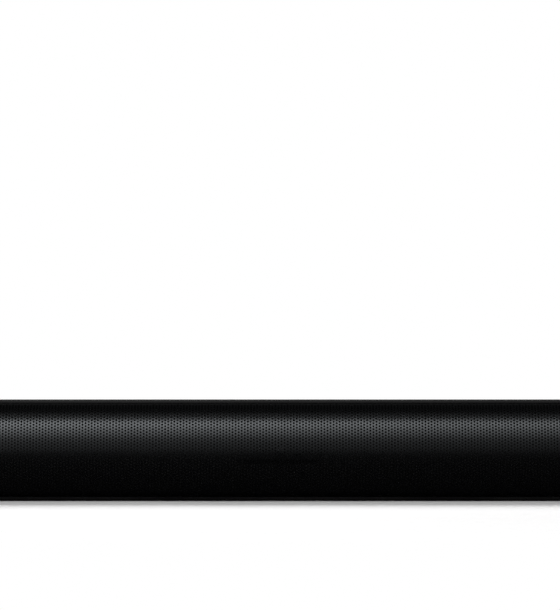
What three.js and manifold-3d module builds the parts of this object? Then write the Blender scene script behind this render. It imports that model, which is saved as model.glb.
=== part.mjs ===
// A soundbar: a long D-shaped loudspeaker cabinet with a perforated steel grille, four buttons on top,
// sockets in a tray at the back, and four woofers and two tweeters on a baffle behind the grille.
//
// Millimetres, +Z up. X runs along the bar and the grille faces -Y. The origin is on the surface that the
// feet stand on, under the middle of the bar.

import * as THREE from "three";
import { mergeVertices } from "three/addons/utils/BufferGeometryUtils.js";
import Module from "manifold-3d";

const wasm = await Module();
wasm.setup();

// ---------- driving dimensions ----------

const GAP = 0.3; // clearance between two pieces that seat on each other
const RUNNING_GAP = 0.45; // clearance round a piece that moves

const LENGTH = 900; // end to end
const DEPTH = 95; // from the front of the bulge to the back wall
const BODY_HEIGHT = 72; // underside of the base plate to the top face
const FOOT_PROUD = 0.6; // how far the feet hold the body off the surface

const TOP_THICKNESS = 2.4;
const BASE_THICKNESS = 2.4;
const WALL = 2.5; // moulded cabinet walls

const GRILLE_THICKNESS = 1;
const BULGE_RADIUS = 70; // gentle curve of the grille's front
const BULGE_HEIGHT = 33.5; // height of the foremost line above the underside
const UPPER_CORNER_RADIUS = 13;
const UPPER_CORNER_END = 75; // degrees above level at which the grille tucks under the top panel
const LOWER_CORNER_RADIUS = 8;
const LOWER_CORNER_END = 80;
const CAP_UPPER_RADIUS = 10; // the end caps' own corners, level with the top panel and base plate
const CAP_LOWER_RADIUS = 8;

const CAP_LENGTH = 16; // end cap, along X
const CAP_ROUND = 5; // rounding of its outer edge
const CAP_WALL = 3;
const REAR_CORNER_RADIUS = 6;

const FOOT_RADIUS = 9;
const FOOT_POCKET_DEPTH = 1.2;
const FOOT_FROM_END = 70;
const FOOT_FROM_BACK = 20;
const FOOT_FROM_SEAM = 16; // from the front seam of the base plate

const BAFFLE_THICKNESS = 3;
const PARTITION_X = 217; // wall between the electronics and each driver chamber
const CABLE_HOLE_RADIUS = 3;

const WOOFER_SPACING = 62; // from the tweeter to the woofer on each side of it
const WOOFER = {
  flangeRadius: 29,
  flangeThickness: 2,
  bodyRadius: 25.4, // widest part of the basket behind the flange
  sheet: 1.2,
  backRadius: 17,
  depth: 24, // flange face to the basket's back plate
  coilRadius: 7,
  coilThickness: 0.5,
  coilGap: 0.6, // between coil and iron, each side
  magnetRadius: 20,
  magnetLength: 13,
  coneRadius: 19.6,
  coneDepth: 10,
  coneThickness: 0.7,
  capRise: 3.4,
  surroundOuter: 27.4,
  surroundRoll: 2.2, // inner radius of the half roll
  surroundSkin: 0.8,
};
const CONE_TRAVEL = 2.5; // each way

const TWEETER = {
  flangeRadius: 21,
  flangeThickness: 2.4,
  hornMouth: 16,
  domeRadius: 9.5,
  domeRise: 3.2,
  domeSkin: 0.6,
  bodyRadius: 14,
  bodyDepth: 9,
  magnetRadius: 12,
  magnetLength: 8,
};
const DOME_TRAVEL = 0.4; // each way

const BUTTON_NAMES = ["power", "source", "volume_down", "volume_up"];
const BUTTON_LENGTH = 17;
const BUTTON_WIDTH = 9;
const BUTTON_PITCH = 24;
const BUTTON_Y = 6; // centre line of the buttons
const BUTTON_SKIRT = 3.3; // cap height
const BUTTON_LIP = 1; // lip that keeps the cap under the panel
const BUTTON_TRAVEL = 0.8;
const POST_RADIUS = 1.6;
const SWITCH_SIZE = 6;
const SWITCH_HEIGHT = 3.8;
const SWITCH_WELL = 1.5;

const BOARD_THICKNESS = 1.6;
const BOARD_HEIGHT = 8.4; // underside of the two big boards above the base plate
const BOSS_RADIUS = 3;

const TRAY_LENGTH = 176; // socket tray in the back wall
const TRAY_HEIGHT = 28;
const TRAY_DEPTH = 15;
const TRAY_WALL = 1.8;
const TRAY_ABOVE_BASE = 5.6;

const KEYHOLE_X = 150; // hanging points on each side of the middle
const KEYHOLE_Z = 50; // centre of the round entry, above the underside
const KEYHOLE_ENTRY_RADIUS = 4.8;
const KEYHOLE_SLOT_WIDTH = 5;
const KEYHOLE_SLOT_RISE = 9.5;
const KEYHOLE_PLATE = { width: 24, below: 9, above: 16, thickness: 1.6 };
const KEYHOLE_WINDOW_MARGIN = 1;

const CABLE_RADIUS = 1.5;
const ROUND_SIDES = 18; // facets round a driver

// ---------- places worked out from them ----------

const frontY = -DEPTH / 2;
const backY = DEPTH / 2;
const bodyBottom = FOOT_PROUD;
const bodyTop = FOOT_PROUD + BODY_HEIGHT;
const baseTop = bodyBottom + BASE_THICKNESS;
const panelBottom = bodyTop - TOP_THICKNESS;
const shellBottom = baseTop + GAP; // the cabinet and the grille stand between these two
const shellTop = panelBottom - GAP;
const capX = LENGTH / 2 - CAP_LENGTH; // inner face of an end cap
const midHalf = capX - GAP; // half length of everything between the caps
const bulgeZ = bodyBottom + BULGE_HEIGHT;
const radians = THREE.MathUtils.degToRad;

const bulgeY = frontY + BULGE_RADIUS;

// The front of the bar in section, from top to bottom: a corner, the bulge and a corner, each tangent to
// the next. A corner ends at its height and at its angle above or below level.
function frontSection(upper, lower) {
  const [high, low] = [cornerArc(upper, 1), cornerArc(lower, -1)];
  const bulge = { centre: [bulgeY, bulgeZ], radius: BULGE_RADIUS, from: high.meet, to: low.meet };
  const arcs = [
    { ...high, from: high.end, to: high.meet, steps: 6 },
    { ...bulge, steps: 10 },
    { ...low, from: low.meet, to: low.end, steps: 5 },
  ];
  return (inset) =>
    arcs.flatMap(({ centre, radius, from, to, steps }, n) =>
      Array.from({ length: steps + (n ? 0 : 1) }, (_, i) => {
        const angle = THREE.MathUtils.lerp(from, to, (i + (n ? 1 : 0)) / steps);
        return onArc(centre, radius - inset, angle);
      }),
    );
}

function cornerArc({ height, radius, degrees }, way) {
  const end = radians(degrees);
  const reach = BULGE_RADIUS - radius;
  const meet = Math.asin((way * (height - bulgeZ) - radius * Math.sin(end)) / reach);
  const centre = [bulgeY - reach * Math.cos(meet), bulgeZ + way * reach * Math.sin(meet)];
  return { centre, radius, meet: way * meet, end: way * end };
}

function onArc([y, z], radius, angle) {
  return [y - radius * Math.cos(angle), z + radius * Math.sin(angle)];
}

const grilleSection = frontSection(
  { height: shellTop, radius: UPPER_CORNER_RADIUS, degrees: UPPER_CORNER_END },
  { height: shellBottom, radius: LOWER_CORNER_RADIUS, degrees: LOWER_CORNER_END },
);
const capFront = frontSection(
  { height: bodyTop, radius: CAP_UPPER_RADIUS, degrees: 90 },
  { height: bodyBottom, radius: CAP_LOWER_RADIUS, degrees: 90 },
);
const topSeamY = grilleSection(0)[0][0];
const baseSeamY = grilleSection(0).at(-1)[0];
const wallFrontY = Math.max(topSeamY, baseSeamY) + GRILLE_THICKNESS + GAP; // front edges of the cabinet
const baffleFront = wallFrontY;
const baffleBack = baffleFront + BAFFLE_THICKNESS;
const innerBottom = shellBottom + WALL;
const innerTop = shellTop - WALL;
const innerBackY = backY - WALL;
const driverZ = (innerBottom + innerTop) / 2;
const chamberX = (PARTITION_X + midHalf) / 2; // middle of a driver chamber

// ---------- solids ----------

// A closed geometry as a manifold-3d solid: only positions count, and equal corners are one vertex.
function solidOf(geometry) {
  const bare = geometry.clone();
  bare.deleteAttribute("normal");
  bare.deleteAttribute("uv");
  const merged = mergeVertices(bare, 1e-4);
  return new wasm.Manifold(
    new wasm.Mesh({
      numProp: 3,
      vertProperties: new Float32Array(merged.attributes.position.array),
      triVerts: new Uint32Array(merged.index.array),
    }),
  );
}

function geometryOf(solid) {
  const { vertProperties, triVerts } = solid.getMesh();
  const geometry = new THREE.BufferGeometry();
  geometry.setAttribute("position", new THREE.BufferAttribute(vertProperties, 3));
  geometry.setIndex(new THREE.BufferAttribute(triVerts, 1));
  geometry.computeVertexNormals();
  return geometry;
}

function box(x0, x1, y0, y1, z0, z1) {
  const geometry = new THREE.BoxGeometry(x1 - x0, y1 - y0, z1 - z0);
  return solidOf(geometry.translate((x0 + x1) / 2, (y0 + y1) / 2, (z0 + z1) / 2));
}

const ALONG = {
  x: new THREE.Matrix4().makeRotationZ(-Math.PI / 2),
  y: new THREE.Matrix4(),
  z: new THREE.Matrix4().makeRotationX(Math.PI / 2),
};

// A cylinder about a line along axis, from one place on that axis to another.
function rod(axis, radius, from, to, [a, b], sides = 20) {
  const geometry = new THREE.CylinderGeometry(radius, radius, Math.abs(to - from), sides);
  geometry.applyMatrix4(ALONG[axis]);
  const middle = (from + to) / 2;
  const centre = { x: [middle, a, b], y: [a, middle, b], z: [a, b, middle] }[axis];
  return solidOf(geometry.translate(...centre));
}

// How a shape's own axes and its extrusion lie in the part's frame.
const LIES = {
  side: [[0, 1, 0], [0, 0, 1], [1, 0, 0]], // drawn in (y, z), extruded along +X
  flat: [[1, 0, 0], [0, 1, 0], [0, 0, 1]], // drawn in (x, y), extruded along +Z
  back: [[-1, 0, 0], [0, 0, 1], [0, 1, 0]], // drawn in (-x, z), extruded along +Y
};

function extruded(lies, shape, from, to, bevel = {}) {
  const options = { depth: to - from, bevelEnabled: false, curveSegments: 4, ...bevel };
  const geometry = new THREE.ExtrudeGeometry(shape, options);
  const axes = LIES[lies].map((v) => new THREE.Vector3(...v));
  geometry.applyMatrix4(new THREE.Matrix4().makeBasis(...axes));
  return solidOf(geometry.translate(...axes[2].clone().multiplyScalar(from).toArray()));
}

const outline = (points) => new THREE.Shape(points.map(([u, v]) => new THREE.Vector2(u, v)));

function roundedRectangle(width, height, radius, centreU = 0, centreV = 0) {
  const shape = new THREE.Shape();
  const [u, v] = [width / 2 - radius, height / 2 - radius];
  shape.absarc(centreU + u, centreV - v, radius, -Math.PI / 2, 0);
  shape.absarc(centreU + u, centreV + v, radius, 0, Math.PI / 2);
  shape.absarc(centreU - u, centreV + v, radius, Math.PI / 2, Math.PI);
  shape.absarc(centreU - u, centreV - v, radius, Math.PI, Math.PI * 1.5);
  return shape;
}

// A solid of revolution about Y from a closed outline of [radius, y] points.
function turned(points, sides = ROUND_SIDES) {
  const area = points.reduce((sum, [r, y], i) => {
    const [nextR, nextY] = points[(i + 1) % points.length];
    return sum + r * nextY - nextR * y;
  }, 0);
  const ordered = area > 0 ? [...points] : [...points].reverse();
  const profile = [...ordered, ordered[0]].map(([r, y]) => new THREE.Vector2(r, y));
  return solidOf(new THREE.LatheGeometry(profile, sides));
}

function tube(points, radius, sides = 6) {
  const curve = new THREE.CatmullRomCurve3(points.map((p) => new THREE.Vector3(...p)), false, "centripetal");
  const steps = Math.min(44, Math.round(curve.getLength() / (radius * 5)));
  const section = new THREE.Shape();
  section.absarc(0, 0, radius, 0, Math.PI * 2);
  const options = { steps, extrudePath: curve, curveSegments: sides / 2, bevelEnabled: false };
  return solidOf(new THREE.ExtrudeGeometry(section, options));
}

const joined = (solids) => solids.reduce((sum, s) => sum.add(s));
const cut = (solid, cutters) => cutters.reduce((left, s) => left.subtract(s), solid);

const MATERIALS = {
  grille: { color: 0x111213, roughness: 0.42, metalness: 0.3 },
  satin_black: { color: 0x0c0d0e, roughness: 0.38 },
  matte_black: { color: 0x121314, roughness: 0.6 },
  rubber: { color: 0x161616, roughness: 0.9 },
  steel: { color: 0xa8abad, roughness: 0.35, metalness: 1 },
  magnet: { color: 0x2b2c2e, roughness: 0.5, metalness: 0.6 },
  cone: { color: 0x1b1b1d, roughness: 0.85 },
  dome: { color: 0xb9bcc0, roughness: 0.3, metalness: 0.9 },
  board: { color: 0x11402a, roughness: 0.5 },
  sink: { color: 0x8f9397, roughness: 0.4, metalness: 0.9 },
  winding_tape: { color: 0xd9b13a, roughness: 0.6 },
  sleeve: { color: 0x1d2733, roughness: 0.5 },
  light_pipe: { color: 0xe6e8ea, roughness: 0.1 },
  cable: { color: 0x1a1a1c, roughness: 0.7 },
};

function mesh(name, solid, finish, x = 0, y = 0, z = 0) {
  const made = new THREE.Mesh(geometryOf(solid), new THREE.MeshStandardMaterial(MATERIALS[finish]));
  made.name = name;
  made.position.set(x, y, z);
  return made;
}

const bar = new THREE.Group();

// ---------- enclosure ----------

function roundCorner([y, z], radius, from, steps = 4) {
  return Array.from({ length: steps + 1 }, (_, i) => {
    const angle = radians(from + (90 * i) / steps);
    return [y + radius * Math.cos(angle), z + radius * Math.sin(angle)];
  });
}

// The whole bar's section, anticlockwise in (y, z), inset from its outer face.
function bodySection(inset) {
  const reach = REAR_CORNER_RADIUS;
  return [
    ...roundCorner([backY - reach, bodyBottom + reach], reach - inset, -90),
    ...roundCorner([backY - reach, bodyTop - reach], reach - inset, 0),
    ...capFront(inset),
  ];
}

// The stretch of the bar between two depths and two heights, rounded where the bar is.
function slab(y0, y1, z0, z1) {
  const whole = extruded("side", outline(bodySection(0)), -midHalf, midHalf);
  return whole.intersect(box(-LENGTH, LENGTH, y0, y1, z0, z1));
}

function buildEnclosure() {
  const section = outline([...grilleSection(0), ...grilleSection(GRILLE_THICKNESS).reverse()]);
  bar.add(mesh("grille", extruded("side", section, -midHalf, midHalf), "grille"));
  bar.add(mesh("top_panel", topPanel(), "satin_black"));
  bar.add(mesh("base_plate", basePlate(), "matte_black"));
  bar.add(mesh("rear_cabinet", rearCabinet(), "matte_black"));
  bar.add(mesh("front_baffle", frontBaffle(), "matte_black"));
  const right = endCap();
  bar.add(mesh("right_end_cap", right, "satin_black"));
  bar.add(mesh("left_end_cap", right.mirror([1, 0, 0]), "satin_black"));
}

function topPanel() {
  return cut(
    slab(topSeamY, backY, panelBottom, bodyTop),
    buttonPlaces().map((x) => buttonPrism(x, RUNNING_GAP, panelBottom - 1, bodyTop + 1)),
  );
}

function footPlaces() {
  const x = LENGTH / 2 - FOOT_FROM_END;
  const [front, back] = [baseSeamY + FOOT_FROM_SEAM, backY - FOOT_FROM_BACK];
  return {
    front_left_foot: [-x, front],
    front_right_foot: [x, front],
    back_left_foot: [-x, back],
    back_right_foot: [x, back],
  };
}

function basePlate() {
  const pocketTop = bodyBottom + FOOT_POCKET_DEPTH;
  return cut(
    slab(baseSeamY, backY, bodyBottom, baseTop),
    Object.values(footPlaces()).map((at) => rod("z", FOOT_RADIUS + GAP, bodyBottom - 1, pocketTop, at, 24)),
  );
}

function buildFeet() {
  const top = bodyBottom + FOOT_POCKET_DEPTH - GAP;
  for (const [name, at] of Object.entries(footPlaces())) {
    bar.add(mesh(name, rod("z", FOOT_RADIUS, 0, top, at, 24), "rubber"));
  }
}

// The open-fronted tub: top, bottom, back and end walls, two partitions and the board bosses.
function rearCabinet() {
  const hull = slab(wallFrontY, backY, shellBottom, shellTop);
  const bays = [
    [-midHalf + WALL, -PARTITION_X - WALL],
    [-PARTITION_X, PARTITION_X],
    [PARTITION_X + WALL, midHalf - WALL],
  ].map(([x0, x1]) => box(x0, x1, wallFrontY - 1, innerBackY, innerBottom, innerTop));
  const notchBack = baffleBack + GAP; // the partitions stop behind the baffle
  const notches = [-1, 1].map((side) => {
    const x = side * (PARTITION_X + WALL / 2);
    return box(x - WALL, x + WALL, wallFrontY - 1, notchBack, innerBottom, innerTop);
  });
  const bosses = Object.values(boards()).flatMap((b) =>
    bossPlaces(b).map((at) => rod("z", BOSS_RADIUS, innerBottom - 1, boardBottom - GAP, at, 12)),
  );
  const hangers = controlBossPlaces().map((at) =>
    rod("z", BOSS_RADIUS, controlBoardTop + GAP, innerTop + 1, at, 12),
  );
  const tub = joined([cut(hull, [...bays, ...notches]), ...bosses, ...hangers]);
  return cut(tub, [trayHole(), controlWindow(), ...keyholeWindows(), ...cableHoles()]);
}

function cableHoles() {
  return [-1, 1].map((side) => {
    const x = side * (PARTITION_X + WALL / 2);
    return rod("x", CABLE_HOLE_RADIUS, x - WALL, x + WALL, [cableLaneY, cableLaneZ], 12);
  });
}

function frontBaffle() {
  const [x, z0, z1] = [midHalf - WALL - GAP, innerBottom + GAP, innerTop - GAP];
  const plate = box(-x, x, baffleFront, baffleBack, z0, z1);
  const hole = (radius, at) => rod("y", radius, baffleFront - 1, baffleBack + 1, [at, driverZ], ROUND_SIDES);
  const posts = displayPostPlaces().map((at) =>
    rod("y", displayPostRadius, displayBack + GAP, baffleFront + 1, at, 10),
  );
  const drilled = cut(plate, [
    ...wooferPlaces().map((at) => hole(WOOFER.bodyRadius + GAP, at)),
    ...tweeterPlaces().map((at) => hole(TWEETER.bodyRadius + GAP, at)),
  ]);
  return joined([drilled, ...posts]);
}

// A cup of the bar's whole section, with its outer edge rounded, that closes the bar's end.
function endCap() {
  const outer = extruded("side", outline(bodySection(CAP_ROUND)), capX, LENGTH / 2 - CAP_ROUND, {
    bevelEnabled: true,
    bevelThickness: CAP_ROUND,
    bevelSize: CAP_ROUND,
    bevelSegments: 4,
  });
  const inner = extruded(
    "side",
    outline(bodySection(CAP_WALL)),
    capX - CAP_ROUND - 1,
    LENGTH / 2 - CAP_WALL - CAP_ROUND / 2,
  );
  const beyond = box(capX - 2 * CAP_ROUND, capX, frontY - 1, backY + 1, 0, bodyTop + 1);
  return cut(outer, [beyond, inner]);
}

// ---------- controls ----------

function buttonPlaces() {
  const middle = (BUTTON_NAMES.length - 1) / 2;
  return BUTTON_NAMES.map((_, i) => (i - middle) * BUTTON_PITCH);
}

function buttonPrism(x, grow, from, to) {
  const [length, width] = [BUTTON_LENGTH + 2 * grow, BUTTON_WIDTH + 2 * grow];
  return extruded("flat", roundedRectangle(length, width, width / 2 - 0.01, x, BUTTON_Y), from, to);
}

const lipTop = panelBottom - GAP;
const lipBottom = lipTop - 1;
const controlHalfX = (BUTTON_NAMES.length * BUTTON_PITCH) / 2 + 4;
const controlHalfY = BUTTON_WIDTH / 2 + 5;
const switchTop = bodyTop - BUTTON_SKIRT - 3.6;
const controlBoardTop = switchTop - SWITCH_HEIGHT;

function controlWindow() {
  const [x, y] = [controlHalfX, controlHalfY - 2];
  return box(-x, x, BUTTON_Y - y, BUTTON_Y + y, innerTop - 1, shellTop + 1);
}

function controlBossPlaces() {
  const [x, y] = [controlHalfX + BOSS_RADIUS + 1, BUTTON_Y];
  return [[-x, y], [x, y]];
}

function buildControls() {
  BUTTON_NAMES.forEach((name, i) => {
    const x = buttonPlaces()[i];
    const cap = joined([
      buttonPrism(x, 0, bodyTop - BUTTON_SKIRT, bodyTop),
      buttonPrism(x, BUTTON_LIP, lipBottom, lipTop),
      rod("z", POST_RADIUS, switchTop - GAP, bodyTop - BUTTON_SKIRT + 1, [x, BUTTON_Y], 12),
    ]);
    bar.add(mesh(`${name}_button`, cap, "matte_black"));
  });
  bar.add(mesh("control_board", controlBoard(), "board"));
}

// A strip of circuit board with one tact switch under each button.
function controlBoard() {
  const x = controlHalfX + 2 * BOSS_RADIUS + 2;
  const [y0, y1] = [BUTTON_Y - controlHalfY + 2, BUTTON_Y + controlHalfY - 2];
  const strip = box(-x, x, y0, y1, controlBoardTop - BOARD_THICKNESS, controlBoardTop);
  const half = SWITCH_SIZE / 2;
  const [low, high] = [BUTTON_Y - half, BUTTON_Y + half];
  const switches = buttonPlaces().map((at) => {
    const body = box(at - half, at + half, low, high, controlBoardTop - 0.5, switchTop);
    const well = rod("z", POST_RADIUS + RUNNING_GAP, switchTop - SWITCH_WELL, switchTop + 1, [at, BUTTON_Y], 12);
    return body.subtract(well);
  });
  return joined([strip, ...switches]);
}

// ---------- drivers ----------

const wooferPlaces = () =>
  [-1, 1].flatMap((side) => [-1, 1].map((way) => side * chamberX + way * WOOFER_SPACING));
const tweeterPlaces = () => [-chamberX, chamberX];

// Every driver is drawn about Y with its flange's back face at y = 0, and looks towards -Y.
function buildWoofer(name, x) {
  const driver = new THREE.Group();
  driver.position.set(x, baffleFront - GAP, driverZ);
  driver.add(mesh(`${name}_basket`, basket(), "magnet"));
  driver.add(mesh(`${name}_magnet`, magnet(), "magnet"));
  driver.add(mesh(`${name}_cone`, cone(), "cone"));
  driver.add(mesh(`${name}_surround`, surround(), "rubber"));
  bar.add(driver);
}

const wooferBack = WOOFER.depth - WOOFER.flangeThickness; // behind the flange's back face
const coilOuter = WOOFER.coilRadius + WOOFER.coilThickness;
const BASKET_SHOULDER = 3; // straight length behind the flange

// The basket's outside, which tapers from its shoulder to its back plate, at a depth behind the flange.
function basketRadiusAt(depth) {
  const along = (depth - BASKET_SHOULDER) / (wooferBack - BASKET_SHOULDER);
  return THREE.MathUtils.lerp(WOOFER.bodyRadius, WOOFER.backRadius, along);
}

function basket() {
  const { flangeRadius, flangeThickness, bodyRadius, backRadius, sheet, coilGap } = WOOFER;
  const body = turned([
    [flangeRadius, -flangeThickness],
    [flangeRadius, 0],
    [bodyRadius, 0],
    [bodyRadius, BASKET_SHOULDER],
    [backRadius, wooferBack],
    [coilOuter + coilGap, wooferBack],
    [coilOuter + coilGap, wooferBack - sheet],
    [backRadius - sheet, wooferBack - sheet],
    [bodyRadius - sheet, BASKET_SHOULDER - sheet / 2],
    [bodyRadius - sheet, -flangeThickness],
  ]);
  // Four windows let the air move behind the cone.
  const windows = [0, 1].map((turn) => {
    const opening = box(-5.5, 5.5, 6, wooferBack - 3.5, -bodyRadius, bodyRadius);
    return opening.rotate([0, 45 + 90 * turn, 0]);
  });
  return cut(body, windows);
}

// A ring magnet between two plates, with the coil's gap round its pole.
function magnet() {
  const { magnetRadius, magnetLength, coilRadius, coilGap } = WOOFER;
  const front = wooferBack + GAP;
  const back = front + magnetLength;
  const grooveFloor = back - 2.5;
  return turned([
    [0, front],
    [0, back],
    [magnetRadius - 1.5, back],
    [magnetRadius, back - 1.5],
    [magnetRadius, front],
    [coilOuter + coilGap, front],
    [coilOuter + coilGap, grooveFloor],
    [coilRadius - coilGap, grooveFloor],
    [coilRadius - coilGap, front],
  ]);
}

// Cone, dust cap and voice-coil former are glued together and move as one.
function cone() {
  const { coneRadius, coneDepth, coneThickness, coilRadius, capRise, flangeThickness } = WOOFER;
  const mouth = -flangeThickness;
  const neck = mouth + coneDepth;
  const coilEnd = wooferBack + GAP + CONE_TRAVEL + 2.5;
  const waist = (coneRadius + coilRadius) / 2 - 1; // the cone's flare is slightly curved
  const flare = neck - coneDepth * 0.42;
  const cap = neck - 1.5;
  return turned([
    [coneRadius, mouth],
    [coneRadius, mouth + coneThickness],
    [waist, flare + coneThickness],
    [coilOuter, neck + coneThickness],
    [coilOuter, coilEnd],
    [coilRadius, coilEnd],
    [coilRadius, cap + 0.4],
    [coilRadius * 0.6, cap - capRise * 0.6],
    [0, cap - capRise + 0.5],
    [0, cap - capRise],
    [coilRadius * 0.6, cap - capRise * 0.75],
    [coilRadius + 1.6, cap - 0.4],
    [waist, flare],
  ]);
}

// The half roll between the cone's edge and the basket's flange.
function surround() {
  const { coneRadius, surroundOuter, surroundRoll, surroundSkin, flangeThickness } = WOOFER;
  const seat = -flangeThickness - GAP;
  const middle = coneRadius + GAP + surroundSkin + surroundRoll;
  const arc = (radius, from, to) =>
    Array.from({ length: 5 }, (_, i) => {
      const angle = THREE.MathUtils.lerp(from, to, i / 4);
      return [middle + radius * Math.cos(angle), seat - radius * Math.sin(angle)];
    });
  return turned([
    [surroundOuter, seat],
    [surroundOuter, seat - surroundSkin],
    ...arc(surroundRoll + surroundSkin, 0.27, Math.PI),
    [coneRadius + GAP, seat],
    ...arc(surroundRoll, Math.PI, 0),
  ]);
}

function buildTweeter(name, x) {
  const driver = new THREE.Group();
  driver.position.set(x, baffleFront - GAP, driverZ);
  const { flangeRadius, flangeThickness, hornMouth, domeRadius, domeRise, domeSkin } = TWEETER;
  const { bodyRadius, bodyDepth, magnetRadius, magnetLength } = TWEETER;
  const throat = domeRadius + RUNNING_GAP;
  const plate = turned([
    [flangeRadius, -flangeThickness],
    [flangeRadius, 0],
    [bodyRadius, 0],
    [bodyRadius, bodyDepth],
    [throat, bodyDepth],
    [throat, 0.4],
    [hornMouth, -flangeThickness],
  ]);
  const rim = DOME_TRAVEL + 1;
  const dome = turned([
    [domeRadius, rim],
    [domeRadius, rim + 4],
    [domeRadius - domeSkin, rim + 4],
    [domeRadius - domeSkin, rim],
    [domeRadius * 0.6, rim - domeRise * 0.72 + domeSkin],
    [0, rim - domeRise + domeSkin],
    [0, rim - domeRise],
    [domeRadius * 0.6, rim - domeRise * 0.75],
  ]);
  const back = turned([
    [0, bodyDepth + GAP],
    [0, bodyDepth + GAP + magnetLength],
    [magnetRadius - 1, bodyDepth + GAP + magnetLength],
    [magnetRadius, bodyDepth + GAP + magnetLength - 1],
    [magnetRadius, bodyDepth + GAP],
  ]);
  driver.add(mesh(`${name}_faceplate`, plate, "matte_black"));
  driver.add(mesh(`${name}_dome`, dome, "dome"));
  driver.add(mesh(`${name}_magnet`, back, "magnet"));
  bar.add(driver);
}

function buildDrivers() {
  const names = ["left_outer_woofer", "left_inner_woofer", "right_inner_woofer", "right_outer_woofer"];
  wooferPlaces().forEach((x, i) => buildWoofer(names[i], x));
  tweeterPlaces().forEach((x, i) => buildTweeter(["left_tweeter", "right_tweeter"][i], x));
}

// ---------- electronics ----------

const boardBottom = baseTop + BOARD_HEIGHT;
const boardTop = boardBottom + BOARD_THICKNESS;
const onBoard = boardTop + GAP; // where a component's body starts
const boardBackY = backY - TRAY_DEPTH - TRAY_WALL - GAP;

function boards() {
  const [front, back] = [baffleBack + 10, boardBackY];
  return {
    power_board: [-195, -20, front, back],
    main_board: [-12, 195, front, back],
  };
}

function bossPlaces([x0, x1, y0, y1]) {
  const inset = BOSS_RADIUS + 2;
  return [
    [x0 + inset, y0 + inset],
    [x1 - inset, y0 + inset],
    [x0 + inset, y1 - inset],
    [x1 - inset, y1 - inset],
  ];
}

function buildElectronics() {
  for (const [name, [x0, x1, y0, y1]] of Object.entries(boards())) {
    bar.add(mesh(name, box(x0, x1, y0, y1, boardBottom, boardTop), "board"));
  }
  const core = box(-13, 13, -10, 10, 0, 6);
  const bobbin = box(-9, 9, -13, 13, 0, 18);
  bar.add(mesh("transformer", core.add(bobbin), "winding_tape", -118, 2, onBoard));
  const can = rod("z", 8, 0, 24, [0, 0], 20).add(rod("z", 7.4, 24, 25, [0, 0], 20));
  bar.add(mesh("bulk_capacitor", can, "sleeve", -160, 0, onBoard));
  bar.add(mesh("heat_sink", heatSink(), "sink", 130, 0, onBoard));
  const shield = box(-12, 12, -9, 9, 0.9, 3).add(box(-15, 22, -10, 10, 0, 1));
  bar.add(mesh("wireless_module", shield, "steel", 45, -8, onBoard));
}

// A finned block over the amplifier chip.
function heatSink() {
  const base = box(-26, 26, -15, 15, 0, 3.5);
  const fins = Array.from({ length: 8 }, (_, i) => {
    const x = -26 + (i * (52 - 1.8)) / 7;
    return box(x, x + 1.8, -15, 15, 3, 22);
  });
  return joined([base, ...fins]);
}

// ---------- status light behind the grille ----------

const displayBack = baffleFront - 4;
const displayFront = displayBack - BOARD_THICKNESS;
const displayPostRadius = 2;
const DISPLAY_HALF_LENGTH = 28;
const DISPLAY_HALF_HEIGHT = 7;

function displayPostPlaces() {
  const x = DISPLAY_HALF_LENGTH - 4;
  return [[-x, driverZ], [x, driverZ]];
}

function buildDisplay() {
  const [x, z] = [DISPLAY_HALF_LENGTH, DISPLAY_HALF_HEIGHT];
  const board = box(-x, x, displayFront, displayBack, driverZ - z, driverZ + z);
  const receiver = box(9, 15, displayFront - 4, displayFront + 0.5, driverZ - 3, driverZ + 3);
  bar.add(mesh("display_board", board.add(receiver), "board"));
  const reach = Math.sqrt((BULGE_RADIUS - GRILLE_THICKNESS) ** 2 - (driverZ + 3 - bulgeZ) ** 2);
  const grilleBack = bulgeY - reach;
  const pipe = rod("y", 2.5, grilleBack + GAP, displayFront - GAP, [0, driverZ], 16);
  bar.add(mesh("status_light_pipe", pipe, "light_pipe"));
}

// ---------- socket tray at the back ----------

const trayBottom = shellBottom + TRAY_ABOVE_BASE;
const trayTop = trayBottom + TRAY_HEIGHT;
const trayFloor = backY - TRAY_DEPTH; // the face that the sockets end in

function trayHole() {
  const [x, back] = [TRAY_LENGTH / 2 + GAP, backY + 1];
  return box(-x, x, innerBackY - 1, back, trayBottom - GAP, trayTop + GAP);
}

// Each socket: its middle along X, its size and how deep its hole is. All stand on a board.
const SOCKETS = {
  ac_inlet: { x: -60, width: 22, height: 14, length: 20, z: 0 },
  hdmi_socket: { x: 8, width: 16.4, height: 6.8, length: 13, z: 0 },
  optical_socket: { x: 32, width: 13, height: 12.6, length: 14, z: 0 },
  aux_jack: { x: 52, width: 9, height: 9, length: 13, z: 0 },
  usb_socket: { x: 72, width: 15.2, height: 8, length: 15, z: 0 },
};

const socketMiddle = (name) => onBoard + SOCKETS[name].height / 2;

function socketBlock(name, grow = 0) {
  const { x, width, height, length } = SOCKETS[name];
  const [half, back] = [width / 2 + grow, grow ? trayFloor + 1 : trayFloor];
  const z0 = onBoard - grow;
  return box(x - half, x + half, trayFloor - length, back, z0, onBoard + height + grow);
}

function socketTray() {
  const [x, front] = [TRAY_LENGTH / 2, trayFloor - TRAY_WALL];
  const block = box(-x, x, front, backY - GAP, trayBottom, trayTop);
  const [w, inside] = [TRAY_WALL, backY + 1];
  const hollow = box(-x + w, x - w, trayFloor, inside, trayBottom + w, trayTop - w);
  return cut(block, [hollow, ...Object.keys(SOCKETS).map((name) => socketBlock(name, GAP))]);
}

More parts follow.
